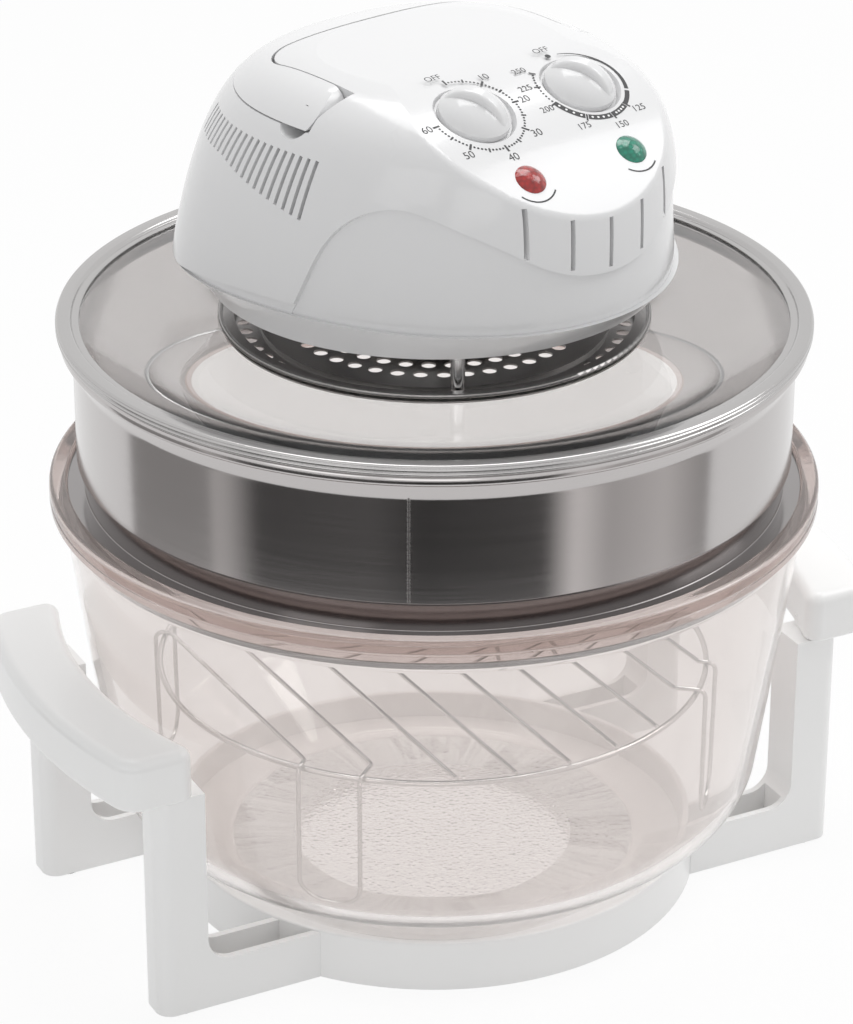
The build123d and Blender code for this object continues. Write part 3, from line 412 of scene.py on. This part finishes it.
# %% [markdown]
# ## The glass bowl
# The bowl is pressed glass with an even wall, a round knee and a thick rolled rim with a ledge for the
# ring. Its outline runs up the outside, over the rim and down the inside, so it is a closed body with a
# real wall.

# %% Bowl
def face_between(lower, upper, offset):
    """The two corners moved by an offset to the left of the direction from lower to upper."""
    (x0, y0), (x1, y1) = lower, upper
    length = math.hypot(x1 - x0, y1 - y0)
    dx, dy = -(y1 - y0) / length * offset, (x1 - x0) / length * offset
    return (x0 + dx, y0 + dy), (x1 + dx, y1 + dy)


def meet(a, b, c, d):
    """Crossing of line a-b with line c-d."""
    a, b, c, d = (np.array(p, float) for p in (a, b, c, d))
    share = np.cross(c - a, d - c) / np.cross(b - a, d - c)
    return tuple(a + share * (b - a))


wall = 4.5
foot, knee, shoulder = (94, 11), (142, 50), (159.6, 178)
cone = face_between(foot, knee, wall)
side = face_between(knee, shoulder, wall)
inner_foot = meet((0, 11 + wall), (10, 11 + wall), *cone)
inner_knee = meet(*cone, *side)
bowl_outline = [(0, 11, 0), (*foot, 12), (*knee, 32), (*shoulder, 5), (164, 183.5, 0.8), (165, 184.5, 0.6),
                (165, 187.2, 0.3), (164.3, 187.8, 0.5), (165, 188.4, 0.3), (165, 193, 2.2), (157.5, 193, 0.8),
                (157.5, 189.5, 0.4), (153.5, 189.5, 1.0), (*side[1], 6), (*inner_knee, 28), (*inner_foot, 8),
                (0, 11 + wall, 0)]
add_piece("bowl", *turned(rounded_path(bowl_outline, steps=9), 320, closed=False), "bowl", "bowl_glass",
          ["glass_bowl"])

# %% [markdown]
# ## The extension ring
# The ring is rolled from sheet: a waist that drops into the bowl, a crease, a tall straight wall, and a
# flare that ends in a fat bead. The weld that closes the sheet is left to its finish.

# %% Ring
ring_outline = [(157.2, 189.5, 0.2), (157.2, 190.4, 0.2), (149.7, 190.4, 0.5), (152.0, 203.0, 0.6),
                (152.8, 204.0, 0.8), (152.8, 250.1, 8), (155.2, 257.3, 0.6), (158.4, 257.3, 1.7),
                (158.4, 262.1, 1.7), (153.6, 262.1, 1.6), (153.6, 256.4, 0.6), (151.9, 250.3, 8),
                (151.9, 204.3, 0.8), (151.1, 203.2, 0.6), (148.5, 189.5, 0.2)]
add_piece("steel_ring", *turned(rounded_path(ring_outline, closed=True), 320), "extender", "ring_steel",
          ["extension_ring"])

# %% [markdown]
# ## The rack's bent wires
# Each group of the rack's bars is one wire, bent down at both ends into a U-shaped foot. A tube is a circle
# carried along the bent path; a fixed vector that the path never follows gives every circle its bearing.

# %% Bent wire
def tube(path, radius, sides=14):
    """Point (k, m) is path[k] + radius (cos m a + sin m b), with a and b square to the path's direction."""
    along = np.roll(path, -1, 0) - np.roll(path, 1, 0)
    along /= np.linalg.norm(along, axis=1)[:, None]
    a = np.cross(along, (0.42, 0.31, 0.85))
    a /= np.linalg.norm(a, axis=1)[:, None]
    b = np.cross(along, a)
    m = np.linspace(0, 2 * np.pi, sides, endpoint=False)[None, :, None]
    points = path[:, None] + radius * (np.cos(m) * a[:, None] + np.sin(m) * b[:, None])
    return points.reshape(-1, 3), grid_faces(len(path), sides)


rack_radius, leg_radius, leg_width = 119, 122.5, 27
leg_spread, slight = math.radians(48.5), math.radians(0.8)
bar_level, foot_level = 107.35, 42.67


def wire_loop(first, second):
    """Closed wire over two bars, given as shares of the rack's radius, with a U-shaped foot at each end."""
    across = (first * rack_radius, second * rack_radius)
    out = (math.copysign(math.sin(leg_spread), across[0]), math.cos(leg_spread))
    corners = []
    for end, order in ((1, (0, 1)), (-1, (1, 0))):
        for bar in order:
            side = leg_width * (bar - 0.5)
            x, y = out[0] * leg_radius + out[1] * side, end * (out[1] * leg_radius - out[0] * side)
            start = y - end * out[1] * (x - across[bar]) / out[0]
            run = [(across[bar], start, bar_level, 4), (x, y, bar_level, 4), (x, y, foot_level, 11.5)]
            corners += run if bar == order[0] else run[::-1]
    path = rounded_path(corners, closed=True, steps=10)
    c, s = math.cos(slight), math.sin(slight)
    return tube(path @ np.array([[c, s, 0], [-s, c, 0], [0, 0, 1]]), 0.001)


for name, shares in (("left", (-0.8, -0.61)), ("right", (0.61, 0.8))):
    add_piece("bent_wire_" + name, *wire_loop(*shares), "rack", "wire_chrome", ["rack_loop_" + name])

# %% [markdown]
# ## The lid's pane and band
# The pane is a flat disc with a polished edge and a large hole. The band is folded round its rim; from
# outside it reads as three light rolls with two dark lines between them.

# %% Pane and band
pane_outline = [(86.6, 260.5, 0.5), (152, 260.5, 0.5), (152, 264.5, 1.2), (86.6, 264.5, 1.2)]
add_piece("lid_pane", *turned(rounded_path(pane_outline, closed=True), 256), "lid", "lid_glass",
          ["lid_glass"])
band_outline = [(152.4, 259.9, 0.2), (153.2, 259.7, 0.3), (153.2, 262.3, 0.2), (158.8, 262.15, 0.7),
                (159.6, 262.9, 0.5), (159.6, 263.7, 0.4), (158.9, 264.1, 0.25), (159.6, 264.5, 0.4),
                (159.6, 265.5, 0.4), (158.9, 265.9, 0.25), (159.4, 266.3, 0.3), (158.6, 267.1, 0.8),
                (153.4, 267.1, 1.4), (152.6, 265.4, 0.3), (149.7, 265.4, 0.2), (149.7, 264.55, 0.1),
                (152.35, 264.55, 0.1), (152.35, 260.45, 0.1), (149.7, 260.45, 0.1), (149.7, 259.6, 0.2)]
add_piece("rolled_band", *turned(rounded_path(band_outline, closed=True, steps=4), 256), "lid", "band_steel",
          ["lid_band"])

# %% [markdown]
# ## Printing on the panel
# The scales are screen printed on the head's curved panel. Each mark is drawn flat, then wrapped: its
# distance up the panel becomes an angle on the panel's arc, so the print lies on the skin at a hair's
# breadth.

# %% The curved panel
glass_top = 0.2645
panel_radius, panel_apex = 0.1666, (0.0074, 0.1246)
head_turn = math.radians(12.3)
dial_line, dial_half = -0.058, 0.02785


def on_panel(u, v, line=dial_line, lift=0.00006):
    """Point u across and v up the panel from a line at distance `line` behind the axis.

    lean = arcsin((apex - line) / radius) - v / radius, then apex - radius sin(lean) behind the axis and
    radius cos(lean) up, pushed out by lift and turned with the head."""
    u, v = np.broadcast_arrays(np.asarray(u, float), np.asarray(v, float))
    lean = math.asin((panel_apex[0] - line) / panel_radius) - v / panel_radius
    reach = panel_radius + lift
    y = panel_apex[0] - reach * np.sin(lean)
    z = glass_top + panel_apex[1] - panel_radius + reach * np.cos(lean)
    return np.stack([u * math.cos(head_turn) - y * math.sin(head_turn),
                     u * math.sin(head_turn) + y * math.cos(head_turn), z], -1)


def flat_band(inner, outer, start, stop, steps=40):
    """Ring sector between radii that may change along it; angles clockwise from straight up, in degrees."""
    angle = np.radians(np.linspace(start, stop, steps))
    inner, outer = np.linspace(*inner, steps), np.linspace(*outer, steps)
    uv = np.stack([np.stack([np.sin(angle) * r, np.cos(angle) * r], -1) for r in (inner, outer)])
    k = np.arange(steps - 1)
    return uv.reshape(-1, 2), np.stack([k, k + 1, k + 1 + steps, k + steps], -1).tolist()


def even_band(ring, below, above, start, stop, steps=40):
    """Ring sector of even width, from `below` inside a ring to `above` outside it."""
    return flat_band((ring - below,) * 2, (ring + above,) * 2, start, stop, steps)


def flat_dot(radius, angle, size, sides=12):
    turn = np.linspace(0, -2 * np.pi, sides, endpoint=False)
    middle = np.array([math.sin(math.radians(angle)), math.cos(math.radians(angle))]) * radius
    return middle + np.stack([np.cos(turn), np.sin(turn)], -1) * size, [list(range(sides))[::-1]]


def flat_text(words, radius, angle, size):
    """Outline of plain figures, as flat triangles centred at a radius and clockwise angle."""
    curve = bpy.data.curves.new("figures", "FONT")
    curve.body, curve.size, curve.align_x, curve.align_y = words, size, "CENTER", "CENTER"
    curve.resolution_u = 3
    holder = bpy.data.objects.new("figures", curve)
    bpy.context.scene.collection.objects.link(holder)
    bpy.context.view_layer.update()
    mesh = bpy.data.meshes.new_from_object(holder.evaluated_get(bpy.context.evaluated_depsgraph_get()))
    flat = np.empty(len(mesh.vertices) * 3)
    mesh.vertices.foreach_get("co", flat)
    faces = [list(polygon.vertices) for polygon in mesh.polygons]
    bpy.data.objects.remove(holder)
    turn = math.radians(angle)
    return flat.reshape(-1, 3)[:, :2] + [math.sin(turn) * radius, math.cos(turn) * radius], faces


def printed(name, shapes, across, finish, line=dial_line, lift=0.00006):
    """Joins flat shapes into one mesh wrapped on the panel, centred at a place across it."""
    points, faces, count = [], [], 0
    for flat, polygons in shapes:
        points.append(on_panel(flat[:, 0] + across, flat[:, 1], line, lift))
        faces += [[corner + count for corner in polygon] for polygon in polygons]
        count += len(flat)
    return add_piece(name, np.vstack(points), faces, "lid", "switch_black", finish=finish)


# %% [markdown]
# ## Baffles behind the vents
# The vents at the sides don't look straight into the works: a white baffle follows the dome a few
# millimetres inside its skin. It is the dome's own formula, drawn in.

# %% Vent baffles
parting_height, dome_height, baffle_inset = 32, 119.4, 3.4


def dome_point(angle, height, inset):
    """Oval of the dome at a height: each reach is full * (1 - rise ** power) ** root, drawn in by inset."""
    rise = (height - parting_height) / (dome_height - parting_height)
    side, front, back = [full * (1 - rise ** power) ** root - inset for full, power, root
                         in ((103, 1.2, 0.16), (109.5, 5.6, 0.25), (103.5, 2.06, 0.24))]
    middle, square = 23.4 * (1 - rise), 2 + 0.25 * rise ** 3
    depth = np.where(np.sin(angle) > 0, back - middle, front + middle)
    c, s = np.cos(angle), np.sin(angle)
    reach = (np.abs(c / side) ** square + np.abs(s / depth) ** square) ** (-1 / square)
    x, y = c * reach, middle + s * reach
    return np.stack([x * math.cos(head_turn) - y * math.sin(head_turn),
                     x * math.sin(head_turn) + y * math.cos(head_turn), glass_top * 1000 + height], -1) / 1000


for name, start, stop in (("right", -32, 32), ("left", 148, 212)):
    spot, level = np.meshgrid(np.radians(np.linspace(start, stop, 40)), np.linspace(66, 98, 16))
    skin = dome_point(spot, level, baffle_inset).reshape(-1, 3)
    quads = grid_faces(*spot.shape, rows_close=False, columns_close=False)[:, [0, 3, 2, 1]]
    add_piece("vent_baffle_" + name, skin, quads, "lid", "head_white")

# %% Ink
def ink(name, tone):
    finish = Finish(name)
    grain = finish.noise(2500, 2)
    light = tuple(channel * 1.25 + 0.004 for channel in tone)
    colour = finish.tones(grain, tone, light)
    return finish.show(finish.surface(Base_Color=colour, Roughness=0.42 + grain * 0.1))


black_ink, white_ink = ink("black print", (0.018, 0.018, 0.02)), ink("white print", (0.72, 0.72, 0.72))

# %% [markdown]
# The timer's scale is a ring of dots, one a minute, with short ticks at the fives and long ones at the
# tens.

# %% Timer scale
timer_ring, timer_zero, minute = 0.0206, 2.0, 4.40
marks = [flat_dot(timer_ring, timer_zero + k * minute, 0.00052) for k in range(1, 60)]
for k in range(0, 61, 5):
    reach = 0.0021 if k % 10 == 0 else 0.0014
    wide = 1.3 if k % 10 == 0 else 1.0
    spot = timer_zero + k * minute
    marks.append(even_band(timer_ring, reach * 0.6, reach, spot - wide, spot + wide, 3))
marks += [flat_text(str(k), timer_ring + 0.0053, timer_zero + k * minute, 0.0052) for k in range(10, 61, 10)]
marks.append(flat_text("OFF", timer_ring + 0.0050, timer_zero - 6, 0.0046))
printed("timer_scale", marks, -dial_half, black_ink)

# %% [markdown]
# The thermostat's scale is a line that swells clockwise from OFF to a break, then three thick bars with
# light dots in them, and a dotted end.

# %% Thermostat scale
heat_ring = 0.0198
heat_marks = [flat_dot(heat_ring, -4, 0.0013, 20), flat_text("OFF", heat_ring + 0.0048, -3, 0.0046),
              flat_band((heat_ring - 0.0002, heat_ring - 0.0009), (heat_ring + 0.0002, heat_ring + 0.0009),
                        9.6, 118),
              even_band(heat_ring, 0.0010, 0.0010, 121, 146)]
bars = ((148, 173), (176, 208), (212, 250))
for start, stop in bars:
    heat_marks.append(even_band(heat_ring, 0.0013, 0.0013, start, stop))
for angle in range(255, 307, 5):
    heat_marks.append(flat_dot(heat_ring, angle, 0.0005))
for angle, reach in ((146, 0.0024), (174, 0.0024), (210, 0.0024), (251, 0.0024),
                     (282, 0.0018), (308, 0.0018)):
    heat_marks.append(even_band(heat_ring, 0.0012, reach, angle - 1.1, angle + 1.1, 3))
for angle, figures in ((142, "125"), (174, "150"), (214, "175"), (251, "200"), (282, "225"), (308, "250")):
    heat_marks.append(flat_text(figures, heat_ring + 0.0058, angle, 0.0045))
printed("thermostat_scale", heat_marks, dial_half, black_ink)
light_dots = [flat_dot(heat_ring, angle, 0.00055) for start, stop in bars
              for angle in np.linspace(start + 5, stop - 5, 4)]
printed("thermostat_dots", light_dots, dial_half, white_ink, lift=0.00012)
lens_line, lens_half = -0.0906, 0.0266
for word, side, start, stop in (("red", -1, 133, 235), ("green", 1, 137, 222)):
    arc = [flat_band((0.0104,) * 2, (0.0111,) * 2, start, stop, 24)]
    printed(word + "_lens_arc", arc, side * lens_half, black_ink, line=lens_line)

# %% [markdown]
# ## Stage, light and camera
# A pale floor, large soft lamps from the right and from above, weaker ones from the left and an even world
# light the oven plainly. Only the rays that the eye, mirrors and glass send out see the world as pure
# white. Polished metal is only as good as what it mirrors, so a dark screen stands in front for mirrors
# alone.

# %% Floor
def stage_plane(name, points, faces, material):
    mesh = bpy.data.meshes.new(name)
    mesh.from_pydata([tuple(p) for p in points], [], faces)
    mesh.materials.append(material)
    item = bpy.data.objects.new(name, mesh)
    bpy.context.scene.collection.objects.link(item)
    return item


def floor_finish():
    finish = Finish("pale floor")
    fine = finish.noise(30, 2)
    pale = finish.tones(fine, (0.80, 0.80, 0.80), (0.82, 0.82, 0.82))
    paper = finish.surface(Base_Color=pale, Roughness=0.8)
    glow = finish.node("Emission", {}, {"Color": (1, 1, 1, 1), "Strength": 1.0})
    camera_ray, glossy_ray, through_ray = [finish.node("LightPath", {}, {}, "Is " + kind + " Ray")
                                           for kind in ("Camera", "Glossy", "Transmission")]
    seen = camera_ray.larger(glossy_ray).larger(through_ray)
    return finish.show(finish.node("MixShader", {}, {0: 0.35 + seen * 0.57, 1: paper, 2: glow}))


stage_plane("floor", [(-8, -8, 0), (8, -8, 0), (8, 8, 0), (-8, 8, 0)], [[0, 1, 2, 3]], floor_finish())

# %% World
world = bpy.data.worlds.new("even light")
bpy.context.scene.world = world
world.use_nodes = True
world.node_tree.nodes.clear()


def world_node(kind, **sockets):
    made = world.node_tree.nodes.new("ShaderNode" + kind)
    for name, value in sockets.items():
        numbered = name.startswith("n")
        target = made.inputs[int(name[1:]) if numbered else name.replace("_", " ")]
        if isinstance(value, bpy.types.NodeSocket):
            world.node_tree.links.new(value, target)
        else:
            target.default_value = value
    return made


path = world_node("LightPath")
seen = path.outputs["Is Camera Ray"]
for name in ("Is Glossy Ray", "Is Transmission Ray"):
    either = world_node("Math", n0=seen, n1=path.outputs[name])
    either.operation = "MAXIMUM"
    seen = either.outputs[0]
light = world_node("Background", Color=(1, 1, 1, 1), Strength=0.55)
backdrop = world_node("Background", Color=(1, 1, 1, 1), Strength=1.0)
both = world_node("MixShader", n0=seen, n1=light.outputs[0], n2=backdrop.outputs[0])
world_node("OutputWorld", Surface=both.outputs[0])

# %% Camera
scene = bpy.context.scene
scene.view_settings.view_transform = "Standard"
lens_data = bpy.data.cameras.new("camera")
lens_data.lens, lens_data.sensor_width, lens_data.sensor_fit = 134.9, 36, "AUTO"
lens_data.shift_x, lens_data.shift_y = -0.0073, -0.04695
camera = bpy.data.objects.new("camera", lens_data)
scene.collection.objects.link(camera)
camera.location = (-0.6874, -1.3239, 0.8995)
gaze = (Vector((0, 0, 0.1928)) - camera.location).to_track_quat("-Z", "Y").to_matrix()
camera.rotation_euler = (gaze @ Matrix.Rotation(math.radians(0.21), 3, "Z")).to_euler()
scene.camera = camera


# %% Soft lamps
def soft_lamp(name, place, aim, size, power):
    data = bpy.data.lights.new(name, "AREA")
    data.shape, data.size, data.energy = "SQUARE", size, power
    lamp = bpy.data.objects.new(name, data)
    scene.collection.objects.link(lamp)
    lamp.location = place
    lamp.rotation_euler = (Vector(aim) - Vector(place)).to_track_quat("-Z", "Y").to_euler()
    return lamp


soft_lamp("key lamp", (1.4, -0.4, 1.6), (0, 0, 0.25), 1.0, 10.5)
soft_lamp("side lamp", (-1.6, -0.9, 0.9), (0, 0, 0.2), 0.9, 2)
soft_lamp("top lamp", (0.3, 0.5, 1.9), (0, 0, 0.2), 1.2, 16)
soft_lamp("front lamp", (-0.9, -1.7, 0.5), (0, 0, 0.1), 0.8, 2)
inside = soft_lamp("bowl lamp", (0, 0, 0.25), (0, 0, 0), 0.16, 0.26)
for kind in ("camera", "glossy", "transmission"):
    setattr(inside, "visible_" + kind, False)


# %% Dark screen for the mirrors
def screen_finish():
    """Grey by angle round the oven: dark in the middle, with lighter and darker bars beside it."""
    finish = Finish("screen")
    x, y, z = finish.axes()
    angle = finish.node("Math", {"operation": "ARCTAN2"}, {0: y, 1: x})
    share = (angle - math.radians(screen_middle - 90 - 360)) * (1 / math.pi)
    bars = [(0.0, 0.55), (0.14, 0.80), (0.22, 0.55), (0.27, 0.07), (0.45, 0.10), (0.52, 0.04), (0.70, 0.08),
            (0.745, 0.95), (0.80, 0.55), (0.90, 0.75), (1.0, 0.35)]
    stops = [(place, (tone, tone * 0.97, tone * 0.96)) for place, tone in bars]
    grey = finish.node("ValToRGB", {"stops": stops}, {"Fac": share})
    return finish.show(finish.node("Emission", {}, {"Color": grey, "Strength": 1.0}))


screen_middle, screen_radius, screen_height, screen_steps = 236, 0.45, 0.15, 65
screen_angles = np.radians(np.linspace(screen_middle - 89, screen_middle + 89, screen_steps))
screen_points = np.stack([np.cos(screen_angles) * screen_radius, np.sin(screen_angles) * screen_radius,
                          screen_angles * 0], -1)
screen_points = np.vstack([screen_points, screen_points + [0, 0, screen_height]])
screen_faces = [[k, k + 1, k + 1 + screen_steps, k + screen_steps] for k in range(screen_steps - 1)]
screen = stage_plane("dark_screen", screen_points, screen_faces, screen_finish())
for kind in ("camera", "diffuse", "shadow", "transmission", "volume_scatter"):
    setattr(screen, "visible_" + kind, False)
